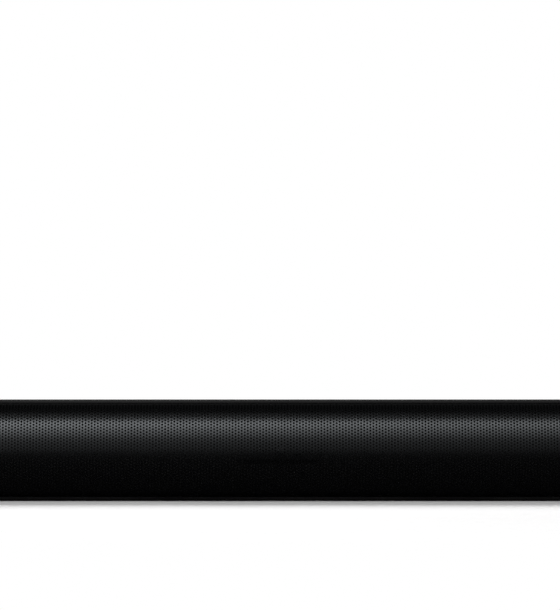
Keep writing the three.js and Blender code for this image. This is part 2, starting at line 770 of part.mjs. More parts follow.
function buildSockets() {
  bar.add(mesh("socket_tray", socketTray(), "matte_black"));
  bar.add(mesh("ac_inlet", acInlet(), "matte_black"));
  bar.add(mesh("hdmi_socket", tongueSocket("hdmi_socket", 14, 4.6, 11, 0, 1.2), "steel"));
  bar.add(mesh("usb_socket", tongueSocket("usb_socket", 12.6, 5.4, 12, 1.1, 1.9), "steel"));
  bar.add(mesh("aux_jack", auxJack(), "matte_black"));
  bar.add(mesh("optical_socket", opticalSocket(), "matte_black"));
  bar.add(mesh("optical_shutter", opticalShutter(), "matte_black"));
}

// A figure-of-eight mains inlet: a stadium-shaped well with two pins standing in it.
const AC_WELL = { width: 15, height: 9, depth: 15, pinRadius: 1.2, pinPitch: 8.6, pinLength: 10 };

function acInlet() {
  const [x, z] = [SOCKETS.ac_inlet.x, socketMiddle("ac_inlet")];
  const { width, height, depth, pinRadius, pinPitch, pinLength } = AC_WELL;
  const shape = roundedRectangle(width, height, height / 2 - 0.01, -x, z);
  const wellFloor = trayFloor - depth;
  const well = extruded("back", shape, wellFloor, trayFloor + 1);
  const pins = [-1, 1].map((side) =>
    rod("y", pinRadius, wellFloor - 1, wellFloor + pinLength, [x + (side * pinPitch) / 2, z], 12),
  );
  return joined([socketBlock("ac_inlet").subtract(well), ...pins]);
}

// A metal shell with a flat contact tongue, raised above the middle of the mouth by lift.
function tongueSocket(name, mouthWidth, mouthHeight, depth, lift, tongue) {
  const { x } = SOCKETS[name];
  const z = socketMiddle(name);
  const [w, h, floor] = [mouthWidth / 2, mouthHeight / 2, trayFloor - depth];
  const mouth = box(x - w, x + w, floor, trayFloor + 1, z - h, z + h);
  const [t, middle] = [tongue / 2, z + lift];
  const blade = box(x - w + 1.5, x + w - 1.5, floor - 1, trayFloor - 1.5, middle - t, middle + t);
  return socketBlock(name).subtract(mouth).add(blade);
}

function auxJack() {
  const at = [SOCKETS.aux_jack.x, socketMiddle("aux_jack")];
  return socketBlock("aux_jack").subtract(rod("y", 1.8, trayFloor - 11, trayFloor + 1, at, 20));
}

const OPTICAL_MOUTH = { width: 9, height: 9, depth: 11 };
const SHUTTER_THICKNESS = 0.8;
const shutterY = trayFloor - 0.6; // its outer face, a little inside the mouth
const shutterTop = () => socketMiddle("optical_socket") + OPTICAL_MOUTH.height / 2 - RUNNING_GAP;

function opticalSocket() {
  const [x, z] = [SOCKETS.optical_socket.x, socketMiddle("optical_socket")];
  const [w, h] = [OPTICAL_MOUTH.width / 2, OPTICAL_MOUTH.height / 2];
  const floor = trayFloor - OPTICAL_MOUTH.depth;
  return socketBlock("optical_socket").subtract(box(x - w, x + w, floor, trayFloor + 1, z - h, z + h));
}

// A dust flap, hinged at its top edge, that a plug pushes inwards. Its edge over the hinge is round.
function opticalShutter() {
  const { x } = SOCKETS.optical_socket;
  const half = OPTICAL_MOUTH.width / 2 - RUNNING_GAP;
  const top = shutterTop();
  const round = SHUTTER_THICKNESS / 2;
  const low = top - OPTICAL_MOUTH.height + 2 * RUNNING_GAP;
  const flap = box(x - half, x + half, shutterY - SHUTTER_THICKNESS, shutterY, low, top - round);
  return flap.add(rod("x", round, x - half, x + half, [shutterY - round, top - round], 12));
}

// ---------- hanging points ----------

// Steel plates behind windows in the back wall: a screw's head enters the round hole and the bar drops
// until the screw is in the slot above it.
const keyholeX = [-KEYHOLE_X, KEYHOLE_X];
const keyholeZ = bodyBottom + KEYHOLE_Z;
const keyholePlateBack = innerBackY - GAP;

function keyholeCut(x, grow, from, to) {
  const entry = rod("y", KEYHOLE_ENTRY_RADIUS + grow, from, to, [x, keyholeZ], 24);
  const half = KEYHOLE_SLOT_WIDTH / 2 + grow;
  const slotTop = keyholeZ + KEYHOLE_SLOT_RISE;
  const slot = box(x - half, x + half, from, to, keyholeZ, slotTop);
  return joined([entry, slot, rod("y", half, from, to, [x, slotTop], 16)]);
}

function keyholeWindows() {
  const { width, below, above } = KEYHOLE_PLATE;
  const m = KEYHOLE_WINDOW_MARGIN + 2;
  const [z0, z1] = [keyholeZ - below + m, keyholeZ + above - m];
  return keyholeX.map((x) => {
    const shape = roundedRectangle(width - 2 * m, z1 - z0, 3, -x, (z0 + z1) / 2);
    return extruded("back", shape, innerBackY - 1, backY + 1);
  });
}

function buildKeyholePlates() {
  const { width, below, above, thickness } = KEYHOLE_PLATE;
  keyholeX.forEach((x, i) => {
    const [y0, y1] = [keyholePlateBack - thickness, keyholePlateBack];
    const plate = box(x - width / 2, x + width / 2, y0, y1, keyholeZ - below, keyholeZ + above);
    const name = `${["left", "right"][i]}_keyhole_plate`;
    bar.add(mesh(name, plate.subtract(keyholeCut(x, 0, y0 - 1, y1 + 1)), "steel"));
  });
}

// ---------- wiring inside the bar ----------

const cableLaneY = baffleBack + 5;
const cableLaneZ = innerBottom + CABLE_RADIUS + 2;

// A sleeved lead to each side's drivers, from the main board along the foot of the baffle.
function speakerCable(side) {
  const [start, boardFront] = [14 + side * 9, boards().main_board[2]];
  const rise = boardTop + 2 * GAP + CABLE_RADIUS;
  const woofer = chamberX + WOOFER_SPACING;
  const terminal = basketRadiusAt(WOOFER.depth * 0.6) + CABLE_RADIUS + 2 * GAP;
  return tube(
    [
      [side * start, boardFront + 9, rise],
      [side * start, boardFront, rise],
      [side * (start + 1), cableLaneY, rise - 1],
      [side * (start + 8), cableLaneY, cableLaneZ + 1],
      [side * (start + 18), cableLaneY, cableLaneZ],
      [side * PARTITION_X, cableLaneY, cableLaneZ],
      [side * (PARTITION_X + WALL), cableLaneY, cableLaneZ],
      [side * (woofer - 14), cableLaneY, cableLaneZ],
      [side * (woofer - 3), cableLaneY + 2, cableLaneZ + 1],
      [side * woofer, baffleFront - GAP + WOOFER.depth * 0.6, driverZ - terminal],
    ],
    CABLE_RADIUS,
  );
}

function buildWiring() {
  bar.add(mesh("left_speaker_cable", speakerCable(-1), "cable"));
  bar.add(mesh("right_speaker_cable", speakerCable(1), "cable"));
}

buildEnclosure();
buildFeet();
buildControls();
buildDrivers();
buildElectronics();
buildDisplay();
buildSockets();
buildKeyholePlates();
buildWiring();

export default bar;
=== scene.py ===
"""A soundbar on a white floor: a long D-shaped cabinet with a perforated steel grille, flush buttons on top,
a socket tray at the back and the drivers behind the grille. Metres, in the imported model's frame."""

import math

import bmesh
import bpy
import numpy as np
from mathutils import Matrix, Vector


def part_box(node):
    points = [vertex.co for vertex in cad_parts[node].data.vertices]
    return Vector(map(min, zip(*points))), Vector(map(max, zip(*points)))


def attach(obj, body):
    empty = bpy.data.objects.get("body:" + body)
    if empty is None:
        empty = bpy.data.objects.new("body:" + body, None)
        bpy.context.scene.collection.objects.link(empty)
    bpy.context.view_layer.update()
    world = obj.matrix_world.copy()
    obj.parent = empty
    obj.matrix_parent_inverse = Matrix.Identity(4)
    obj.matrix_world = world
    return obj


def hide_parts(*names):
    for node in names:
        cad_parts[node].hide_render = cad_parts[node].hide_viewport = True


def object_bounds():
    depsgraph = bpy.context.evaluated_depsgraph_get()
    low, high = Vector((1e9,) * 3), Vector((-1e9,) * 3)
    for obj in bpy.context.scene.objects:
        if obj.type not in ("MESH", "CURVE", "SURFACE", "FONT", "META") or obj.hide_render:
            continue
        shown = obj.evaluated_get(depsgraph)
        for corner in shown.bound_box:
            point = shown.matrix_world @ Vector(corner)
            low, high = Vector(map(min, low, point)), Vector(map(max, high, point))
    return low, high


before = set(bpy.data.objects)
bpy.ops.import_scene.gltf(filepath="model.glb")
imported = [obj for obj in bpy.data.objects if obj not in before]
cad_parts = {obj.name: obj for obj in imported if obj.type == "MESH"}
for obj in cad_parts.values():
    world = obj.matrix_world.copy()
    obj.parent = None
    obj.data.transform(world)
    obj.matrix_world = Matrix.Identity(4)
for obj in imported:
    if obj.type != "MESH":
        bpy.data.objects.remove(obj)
cad_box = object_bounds()
scene = bpy.context.scene
MM = 0.001


def cad(node):
    """A carried-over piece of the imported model."""
    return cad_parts[node]


# ---------- finishes ----------


def linear(hex_colour):
    """An sRGB hex value, such as "#1a1b1c", as a linear colour."""
    parts = [int(hex_colour[i : i + 2], 16) / 255 for i in (1, 3, 5)]
    return tuple(c / 12.92 if c <= 0.04045 else ((c + 0.055) / 1.055) ** 2.4 for c in parts) + (1.0,)


def finish(name, colour, roughness, metallic=0.0, **shader):
    """A new material with its Principled shader set; a socket's spaces are written as underscores."""
    material = bpy.data.materials.new(name)
    material.use_nodes = True
    principled = material.node_tree.nodes["Principled BSDF"]
    principled.inputs["Base Color"].default_value = linear(colour)
    principled.inputs["Roughness"].default_value = roughness
    principled.inputs["Metallic"].default_value = metallic
    for socket, value in shader.items():
        principled.inputs[socket.replace("_", " ")].default_value = value
    material.diffuse_color = linear(colour)
    return material


def add(material, kind, inputs=None, **settings):
    """Adds a node to a material: settings are its own, and inputs holds values or other nodes' outputs."""
    tree = material.node_tree
    node = tree.nodes.new(kind)
    for setting, value in settings.items():
        setattr(node, setting, value)
    for socket, value in (inputs or {}).items():
        if isinstance(value, bpy.types.NodeSocket):
            tree.links.new(value, node.inputs[socket])
        else:
            node.inputs[socket].default_value = value
    return node


PATTERN_ENDS = (0.35, 0.65)  # most of a pattern lies between these, its dark end and its light end


def patterned(material, pattern, rough=None, tint=None, bump=None):
    """Lets a pattern set a material's roughness or colour, each given as two values for the dark and the light
    end of the pattern, and a relief that many millimetres high."""
    links = material.node_tree.links
    shader = material.node_tree.nodes["Principled BSDF"]
    if rough or tint:
        low, high = rough or (0, 1)
        ends = {"From Min": PATTERN_ENDS[0], "From Max": PATTERN_ENDS[1], "To Min": low, "To Max": high}
        level = add(material, "ShaderNodeMapRange", {"Value": pattern, **ends}).outputs["Result"]
    if rough:
        links.new(level, shader.inputs["Roughness"])
    if tint:
        mixed = add(material, "ShaderNodeMix", {"Factor": level}, data_type="RGBA")
        # A colour mix keeps its sockets after the number and vector ones of the same name.
        for socket, colour in zip([s for s in mixed.inputs if s.type == "RGBA"], tint):
            socket.default_value = linear(colour)
        links.new([s for s in mixed.outputs if s.type == "RGBA"][0], shader.inputs["Base Color"])
    if bump:
        relief = add(material, "ShaderNodeBump", {"Height": pattern, "Distance": bump * MM, "Strength": 1.0})
        links.new(relief.outputs["Normal"], shader.inputs["Normal"])


def grained(material, millimetres, detail, stretch=(1, 1, 1), **sets):
    """Gives a material a grain about that many millimetres across, finer along the axes that are stretched,
    and returns the material. What the grain sets is as in patterned."""
    where = add(material, "ShaderNodeTexCoord")
    turned_to = add(material, "ShaderNodeMapping", {"Vector": where.outputs["Object"], "Scale": stretch})
    grain = {"Vector": turned_to.outputs["Vector"], "Scale": 1 / (millimetres * MM), "Detail": detail}
    patterned(material, add(material, "ShaderNodeTexNoise", grain).outputs["Fac"], **sets)
    return material


def spark_eroded_abs(name, colour, roughness, grain, depth):
    """ABS from a spark-eroded mould: even, slightly pebbled, so its sheen is broad and soft."""
    material = grained(finish(name, colour, roughness, IOR=1.5), grain, 4, bump=depth)
    return grained(material, 60, 2, rough=(roughness - 0.03, roughness + 0.04))


def moulded_rubber(name, colour):
    """Moulded rubber: dull, with a dusty bloom that makes the colour cloudy."""
    material = grained(finish(name, colour, 0.8, IOR=1.5), 3, 4, tint=(colour, "#202021"))
    return grained(material, 0.3, 2, bump=0.03)


def circuit_laminate(name, mask, tracked):
    """Glass-fibre laminate under solder mask: glossy, with paler copper tracks showing beneath the colour."""
    material = finish(name, mask, 0.35, IOR=1.5)
    where = add(material, "ShaderNodeTexCoord")
    cells = {"Vector": where.outputs["Object"], "Scale": 1 / (3.2 * MM)}
    tracks = add(material, "ShaderNodeTexVoronoi", cells, distance="CHEBYCHEV", feature="F1")
    patterned(material, tracks.outputs["Distance"], tint=(mask, tracked))
    return material


# Perforated sheet, powder coated: black, a low sheen, and a fine orange peel that softens highlights.
GRILLE_STEEL = finish("powder_coated_steel_black", "#060607", 0.2, IOR=1.45, Specular_Tint=linear("#f2f8fc"))
grained(GRILLE_STEEL, 0.9, 2, rough=(0.18, 0.22), bump=0.02)

SATIN_ABS = spark_eroded_abs("abs_moulded_satin_black", "#0b0b0c", 0.4, 0.35, 0.012)
GLOSSY_ABS = spark_eroded_abs("abs_moulded_low_gloss_black", "#0a0a0b", 0.16, 0.5, 0.008)
TEXTURED_ABS = spark_eroded_abs("abs_spark_eroded_black", "#0e0e0f", 0.55, 0.6, 0.05)
BUTTON_ABS = spark_eroded_abs("abs_moulded_button_black", "#101011", 0.48, 0.3, 0.01)
FOOT_RUBBER = moulded_rubber("rubber_moulded_foot", "#141415")
SURROUND_RUBBER = moulded_rubber("rubber_moulded_surround", "#111112")
LAMINATE = circuit_laminate("laminate_solder_masked_green", "#0c3623", "#19583a")
DARK_LAMINATE = circuit_laminate("laminate_solder_masked_black", "#08090a", "#121314")

# Zinc-plated, stamped steel: pale grey with fine rolling lines along the sheet.
PLATED_STEEL = finish("zinc_plated_steel_stamped", "#b9bcc0", 0.3, 1.0)
grained(PLATED_STEEL, 0.5, 3, (1, 12, 12), rough=(0.26, 0.42), bump=0.004)

# Pressed steel in thin black electrophoretic paint: a soft satin.
BLACK_STEEL = finish("electrocoated_steel_pressed", "#101113", 0.45, IOR=1.5)
grained(BLACK_STEEL, 4, 2, rough=(0.4, 0.52))

# Sintered ferrite: charcoal, matt and faintly granular.
FERRITE = finish("ferrite_sintered", "#2a2b2d", 0.7, IOR=1.6)
grained(FERRITE, 0.4, 3, tint=("#242527", "#313236"), bump=0.02)

# Pressed paper pulp: black, fully matt, with short fibres in every direction.
PAPER_PULP = finish("paper_pulp_pressed", "#161617", 0.9, IOR=1.4)
grained(PAPER_PULP, 1.2, 6, (1, 1, 5), tint=("#121213", "#1e1e20"), bump=0.06)

# Drawn aluminium, anodised grey: a soft metallic sheen with a faint satin.
DOME_ALUMINIUM = finish("aluminium_drawn", "#74777b", 0.34, 1.0)
grained(DOME_ALUMINIUM, 2, 2, rough=(0.3, 0.4))

# Extruded aluminium: die lines along the fins.
SINK_ALUMINIUM = finish("aluminium_extruded", "#9fa3a8", 0.38, 1.0)
grained(SINK_ALUMINIUM, 0.6, 3, (8, 1, 8), rough=(0.3, 0.48))

# Polyester tape round a winding: amber and glossy, with the edges of its turns.
WINDING_TAPE = finish("polyester_tape_wound", "#c99a2e", 0.3, IOR=1.6)
grained(WINDING_TAPE, 2, 2, (1, 1, 6), bump=0.05)

# Shrunk PVC sleeve: dark blue-grey with a soft gloss.
SLEEVE = finish("pvc_sleeve_shrunk", "#1f2b3a", 0.32, IOR=1.53)
grained(SLEEVE, 3, 2, bump=0.03)

# Moulded smoked acrylic with a frosted face: nearly black until the light behind it is on.
ACRYLIC = finish("acrylic_smoked_moulded", "#2a2c2f", 0.4, IOR=1.49, Transmission_Weight=0.6)
grained(ACRYLIC, 2, 1, bump=0.01)

# Extruded PVC sheath: black, slightly waxy.
CABLE_PVC = finish("pvc_sheath_extruded", "#141415", 0.5, IOR=1.53)
grained(CABLE_PVC, 1.5, 2, (1, 5, 5), bump=0.02)

# Closed-cell foam: black, dull and finely porous.
FOAM = finish("foam_closed_cell_black", "#0f0f10", 0.9, IOR=1.4)
grained(FOAM, 0.4, 4, bump=0.08)

# Moulded nylon in a connector: black with a faint waxy gloss.
NYLON = finish("nylon_moulded_black", "#131314", 0.4, IOR=1.53)
grained(NYLON, 0.6, 2, rough=(0.36, 0.46))

# Thin gold over nickel on contacts: a bright, warm gloss.
GOLD = finish("gold_plated_contact", "#d8b25a", 0.22, 1.0)
grained(GOLD, 0.8, 2, rough=(0.18, 0.3))

# Pad-printed grey ink: thin and flat, with a slightly uneven sheen.
INK = finish("pad_printed_ink_grey", "#8d9094", 0.6, IOR=1.5)
grained(INK, 0.4, 2, rough=(0.52, 0.7))


# ---------- mesh helpers ----------

ROUND_UP_TO = math.radians(35)  # added pieces are shaded round over edges up to this angle


def piece_of(name, mesh, material, body="cabinet"):
    """The mesh as a named piece of the bar in that material, riding on a body."""
    mesh.materials.append(material)
    piece = bpy.data.objects.new(name, mesh)
    scene.collection.objects.link(piece)
    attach(piece, body)
    return piece


def shaped(name, shape, material, body="cabinet"):
    """A named piece from a finished bmesh."""
    mesh = bpy.data.meshes.new(name)
    bmesh.ops.recalc_face_normals(shape, faces=shape.faces)
    shape.to_mesh(mesh)
    shape.free()
    mesh.shade_smooth()
    mesh.set_sharp_from_angle(angle=ROUND_UP_TO)
    return piece_of(name, mesh, material, body)


def mesh_from(name, points, triangles):
    """A mesh from arrays of points, in metres, and of triangles."""
    mesh = bpy.data.meshes.new(name)
    mesh.vertices.add(len(points))
    mesh.vertices.foreach_set("co", points.astype(np.float32).ravel())
    mesh.loops.add(triangles.size)
    mesh.loops.foreach_set("vertex_index", triangles.astype(np.int32).ravel())
    mesh.polygons.add(len(triangles))
    mesh.polygons.foreach_set("loop_start", np.arange(0, triangles.size, 3, dtype=np.int32))
    mesh.update(calc_edges=True)
    return mesh


# ---------- the perforated grille ----------

SHEET = 1.0 * MM  # how thick the sheet is
BULGE_RADIUS = 70 * MM
BULGE_ABOVE_SEAM = 30.8 * MM
UPPER_CORNER = (13 * MM, math.radians(75))  # radius, and the angle where the sheet tucks under the top
LOWER_CORNER = (8 * MM, math.radians(80))
COLUMN_PITCH = 2.178 * MM
ROW_PITCH = 2.203 * MM  # in each column; the next column is half a pitch lower
HOLE_RADIUS = 0.8 * MM
HOLE_SIDES = 8
HOLE_EDGE = math.radians(30)  # the sheet is smooth up to this angle, and sharp at the rims of its holes
PLAIN_TOP = 1.6 * MM  # at least this much of the sheet is plain along its top and foot
PLAIN_END = 3.0 * MM  # and this much at each end of the bar
GRILLE_LENGTHS = 4  # the sheet is built in this many lengths that meet edge to edge
SAME_LENGTH = 1e-7  # metres: lengths closer than this are the same


def grille_arcs(low, high):
    """The sheet's outer face in section, from the top seam down: [centre, radius, first and last angle]."""
    bulge = (low.y + BULGE_RADIUS, low.z + BULGE_ABOVE_SEAM)

    def corner(radius, end, seam, way):
        reach = BULGE_RADIUS - radius
        meet = math.asin((way * (seam - bulge[1]) - radius * math.sin(end)) / reach)
        centre = (bulge[0] - reach * math.cos(meet), bulge[1] + way * reach * math.sin(meet))
        return centre, radius, way * end, way * meet

    upper = corner(*UPPER_CORNER, high.z, 1)
    lower_centre, lower_radius, lower_end, lower_meet = corner(*LOWER_CORNER, low.z, -1)
    return [
        upper,
        (bulge, BULGE_RADIUS, upper[3], lower_meet),
        (lower_centre, lower_radius, lower_meet, lower_end),
    ]


ROUNDING = 1e-9  # metres


def along_section(arcs, down, inset):
    """(y, z) at each distance down the outer face, inset from it."""
    y, z = np.zeros_like(down), np.zeros_like(down)
    start = 0.0
    for n, (centre, radius, first, last) in enumerate(arcs):
        length = radius * abs(first - last)
        here = (down >= start - ROUNDING) & ((down <= start + length) | (n == len(arcs) - 1))
        angle = first + (last - first) * (down[here] - start) / length
        y[here] = centre[0] - (radius - inset) * np.cos(angle)
        z[here] = centre[1] + (radius - inset) * np.sin(angle)
        start += length
    return y, z


def ring_to_ring(outer, inner):
    """Triangles between two closed rings of (x, y) points about one middle, as indices, outer ring first."""

    def turn(point):
        return math.atan2(point[1], point[0]) % (2 * math.pi)

    a = sorted(range(len(outer)), key=lambda i: turn(outer[i]))
    b = sorted(range(len(inner)), key=lambda i: turn(inner[i]))
    faces, i, j = [], 0, 0
    while i < len(a) or j < len(b):
        next_a = turn(outer[a[(i + 1) % len(a)]]) + 2 * math.pi * ((i + 1) // len(a))
        next_b = turn(inner[b[(j + 1) % len(b)]]) + 2 * math.pi * ((j + 1) // len(b))
        here_a, here_b = a[i % len(a)], len(outer) + b[j % len(b)]
        if j >= len(b) or (i < len(a) and next_a <= next_b):
            faces.append((here_a, a[(i + 1) % len(a)], here_b))
            i += 1
        else:
            faces.append((here_a, len(outer) + b[(j + 1) % len(b)], here_b))
            j += 1
    return np.array(faces)


def cells_of(x_lines, first_column, rows, holes_from):
    """One length's cells as [column, line] pairs: those that hold a hole, two lines tall, and the plain ones,
    one line tall. Every other column starts its holes a line lower."""
    first, last = holes_from
    holed, plain = [], []
    for i, wide in enumerate(np.diff(x_lines)):
        takes_holes = abs(wide - COLUMN_PITCH) < SAME_LENGTH
        lower = (first_column + i) % 2
        k = 0
        while k < rows - 1:
            if takes_holes and first <= k and k + 2 <= last and (k - first - lower) % 2 == 0:
                holed.append((i, k))
                k += 2
            else:
                plain.append((i, k))
                k += 1
    return np.array(holed), np.array(plain)


def perforated_length(x_lines, first_column, down_lines, holes_from, arcs):
    """Points and triangles of one length of the sheet. x_lines are the column edges, of which the first and
    last may be plain ends. down_lines are the half-pitch lines, and holes_from the first and last of them
    that holes lie between."""
    across, rows = len(x_lines), len(down_lines)
    grid = np.arange(across * rows).reshape(across, rows)
    gx, gd = np.repeat(x_lines, rows), np.tile(down_lines, across)
    cells, plain = cells_of(x_lines, first_column, rows, holes_from)

    # The face round each hole, from the six points of its cell to the points of its rim.
    i, k = cells.T
    six_points = [(1, 1), (1, 0), (0, 0), (0, 1), (0, 2), (1, 2)]
    edge = np.stack([grid[i + right, k + lower] for right, lower in six_points], 1)
    middle_x = (x_lines[i] + x_lines[i + 1]) / 2
    middle_d = down_lines[k + 1]
    turns = (np.arange(HOLE_SIDES) + 0.5) * 2 * math.pi / HOLE_SIDES
    ring_x = middle_x[:, None] + HOLE_RADIUS * np.cos(turns)
    ring_d = middle_d[:, None] - HOLE_RADIUS * np.sin(turns)
    ring = len(gx) + np.arange(len(cells) * HOLE_SIDES).reshape(-1, HOLE_SIDES)
    outer = [(1, 0), (1, 1), (-1, 1), (-1, 0), (-1, -1), (1, -1)]
    pattern = ring_to_ring(outer, [(math.cos(t), math.sin(t)) for t in turns])
    corner = np.concatenate([edge, ring], 1)
    front = corner[:, pattern].reshape(-1, 3)

    # The plain cells are two triangles each.
    pi, pk = plain.T
    quad = np.stack([grid[pi, pk + 1], grid[pi + 1, pk + 1], grid[pi + 1, pk], grid[pi, pk]], 1)
    front = np.concatenate([front, quad[:, [0, 1, 2]], quad[:, [0, 2, 3]]])
    x = np.concatenate([gx, ring_x.ravel()])
    down = np.concatenate([gd, ring_d.ravel()])
    count = len(x)

    # The back is the front again, further in, and walls join the two round the sheet and in each hole.
    rim = np.concatenate([grid[:, 0], grid[-1, 1:], grid[-2::-1, -1], grid[0, -2:0:-1]])
    walls = []
    for loop in (rim[None], ring):
        nxt = np.roll(loop, -1, 1)
        walls.append(np.stack([loop, nxt, nxt + count], -1).reshape(-1, 3))
        walls.append(np.stack([loop, nxt + count, loop + count], -1).reshape(-1, 3))
    faces = np.concatenate([front, front[:, ::-1] + count, *walls])
    points = []
    for inset in (0.0, SHEET):
        y, z = along_section(arcs, down, inset)
        points.append(np.stack([x, y, z], 1))
    return np.concatenate(points), faces


def build_grille():
    """The perforated sheet over the whole of the CAD's plain one."""
    low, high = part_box("grille")
    arcs = grille_arcs(low, high)
    total = sum(radius * abs(first - last) for _, radius, first, last in arcs)
    rows = int((total - 2 * PLAIN_TOP) / ROW_PITCH)
    top = (total - rows * ROW_PITCH) / 2
    lines = top + np.arange(2 * rows + 1) * ROW_PITCH / 2
    down_lines = np.concatenate([[0.0, top / 2], lines, [total - top / 2, total]])
    columns = int((high.x - low.x - 2 * PLAIN_END) / COLUMN_PITCH)
    columns -= columns % GRILLE_LENGTHS
    each = columns // GRILLE_LENGTHS
    start = -columns * COLUMN_PITCH / 2
    for n in range(GRILLE_LENGTHS):
        x_lines = start + (n * each + np.arange(each + 1)) * COLUMN_PITCH
        first = n * each
        if n == 0:
            x_lines, first = np.concatenate([[low.x], x_lines]), first - 1
        if n == GRILLE_LENGTHS - 1:
            x_lines = np.concatenate([x_lines, [high.x]])
        points, faces = perforated_length(x_lines, first, down_lines, (2, 2 + 2 * rows), arcs)
        name = f"grille_length_{n + 1}"
        piece = piece_of(name, mesh_from(name, points, faces), GRILLE_STEEL)
        piece.data.shade_smooth()
        piece.data.set_sharp_from_angle(angle=HOLE_EDGE)
        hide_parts("grille")


build_grille()


# ---------- finishes of the carried-over pieces ----------

DRIVERS = [f"{side}_{place}_woofer" for side in ("left", "right") for place in ("outer", "inner")]
TWEETERS = ["left_tweeter", "right_tweeter"]
BUTTONS = ["power", "source", "volume_down", "volume_up"]
FEET = [f"{end}_{side}_foot" for end in ("front", "back") for side in ("left", "right")]

# Nodes, their finish and the radius of their edges in millimetres.
DRESSED = [
    (["top_panel", "left_end_cap", "right_end_cap"], SATIN_ABS, 0.25),
    (["base_plate"], GLOSSY_ABS, 0.06),
    (["rear_cabinet", "socket_tray"], TEXTURED_ABS, 0.3),
    (["front_baffle"] + [f"{t}_faceplate" for t in TWEETERS], TEXTURED_ABS, 0.2),
    ([f"{b}_button" for b in BUTTONS], BUTTON_ABS, 0.25),
    (FEET, FOOT_RUBBER, 0.35),
    ([f"{d}_basket" for d in DRIVERS], BLACK_STEEL, 0.15),
    ([f"{d}_magnet" for d in DRIVERS + TWEETERS], FERRITE, 0.3),
    ([f"{d}_cone" for d in DRIVERS], PAPER_PULP, 0.0),
    ([f"{d}_surround" for d in DRIVERS], SURROUND_RUBBER, 0.0),
    ([f"{t}_dome" for t in TWEETERS], DOME_ALUMINIUM, 0.0),
    (["left_keyhole_plate", "right_keyhole_plate"], PLATED_STEEL, 0.15),
    (["hdmi_socket", "usb_socket", "wireless_module"], PLATED_STEEL, 0.1),
    (["ac_inlet", "aux_jack", "optical_socket", "optical_shutter"], TEXTURED_ABS, 0.15),
    (["power_board", "main_board", "control_board"], LAMINATE, 0.1),
    (["display_board"], DARK_LAMINATE, 0.1),
    (["heat_sink"], SINK_ALUMINIUM, 0.2),
    (["transformer"], WINDING_TAPE, 0.4),
    (["bulk_capacitor"], SLEEVE, 0.4),
    (["status_light_pipe"], ACRYLIC, 0.2),
    (["left_speaker_cable", "right_speaker_cable"], CABLE_PVC, 0.0),
]


EDGE_ANGLE = math.radians(40)  # a carried-over piece is round up to this angle, and has an edge beyond it
SAME_POINT = 0.001 * MM


def dress(node, material, radius_mm):
    """Gives a carried-over piece its finish, smooth round faces and the small radius of its edges."""
    piece = cad(node)
    piece.data.materials.clear()
    piece.data.materials.append(material)
    piece.data.shade_smooth()
    weld = piece.modifiers.new("weld", "WELD")
    weld.merge_threshold = SAME_POINT
    if radius_mm:
        radius = piece.modifiers.new("edge_radius", "BEVEL")
        radius.width = radius_mm * MM
        radius.segments = 2
        radius.limit_method = "ANGLE"
        radius.angle_limit = EDGE_ANGLE
    piece.data.set_sharp_from_angle(angle=EDGE_ANGLE)
    if radius_mm:
        flat = piece.modifiers.new("flat_faces", "WEIGHTED_NORMAL")
        flat.keep_sharp = True
        flat.weight = 100


for nodes, material, radius_mm in DRESSED:
    for node in nodes:
        dress(node, material, radius_mm)


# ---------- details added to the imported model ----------


def extruded(name, outlines, ends, material, body="cabinet"):
    """Closed bars of those outlines (lists of points), each carried from one place to another in ends."""
    shape = bmesh.new()
    for outline in outlines:
        near, far = [[shape.verts.new(Vector(point) + Vector(place)) for point in outline] for place in ends]
        for i in range(len(outline)):
            j = (i + 1) % len(outline)
            shape.faces.new((near[i], near[j], far[j], far[i]))
        shape.faces.new(near)
        shape.faces.new(far)
    return shaped(name, shape, material, body)


def plates(name, outlines, low, high, material, body="cabinet"):
    """Level plates with those outlines (lists of [x, y] in metres), from one height to another."""
    level = [[(x, y, 0) for x, y in outline] for outline in outlines]
    return extruded(name, level, ((0, 0, low), (0, 0, high)), material, body)


def ringed(name, rings, material, endless=False):
    """A closed piece through rings of as many points each. It has flat ends, or is endless."""
    shape = bmesh.new()
    rows = [[shape.verts.new(point) for point in ring] for ring in rings]
    count = len(rows[0])
    for upper, lower in zip(rows, rows[1:] + (rows[:1] if endless else [])):
        for i in range(count):
            j = (i + 1) % count
            shape.faces.new((upper[i], upper[j], lower[j], lower[i]))
    if not endless:
        shape.faces.new(rows[0])
        shape.faces.new(rows[-1])
    return shaped(name, shape, material)


def turned(name, profile, foot, up, material, sides=32, endless=False):
    """A round piece: profile holds [radius, height] in millimetres from its foot along up. A radius may be a
    function of the angle, for a recess that isn't round. An endless profile goes round its own section."""
    turn = Vector(up).to_track_quat("Z", "Y").to_matrix()
    rings = []
    for radius, height in profile:
        ring = []
        for n in range(sides):
            angle = 2 * math.pi * n / sides
            r = (radius(angle) if callable(radius) else radius) * MM
            ring.append(Vector(foot) + turn @ Vector((r * math.cos(angle), r * math.sin(angle), height * MM)))
        rings.append(ring)
    return ringed(name, rings, material, endless)


SEAL_WIDTH = 1.6 * MM
SEAL_INSET = 2.4 * MM  # from the back of the shell to the middle of its seals
PANEL_THICKNESS = 2.4 * MM
END_SEAL_MARGIN = 3 * MM  # the end seals stop this far from the top and the foot of the shell


def half_round(height, across, up):
    """The outline of a seal that is flat underneath and round on top."""
    turns = [math.pi * n / 8 for n in range(9)]
    across, up = Vector(across) * (SEAL_WIDTH / 2), Vector(up) * height
    return [across * math.cos(t) + up * math.sin(t) for t in turns]


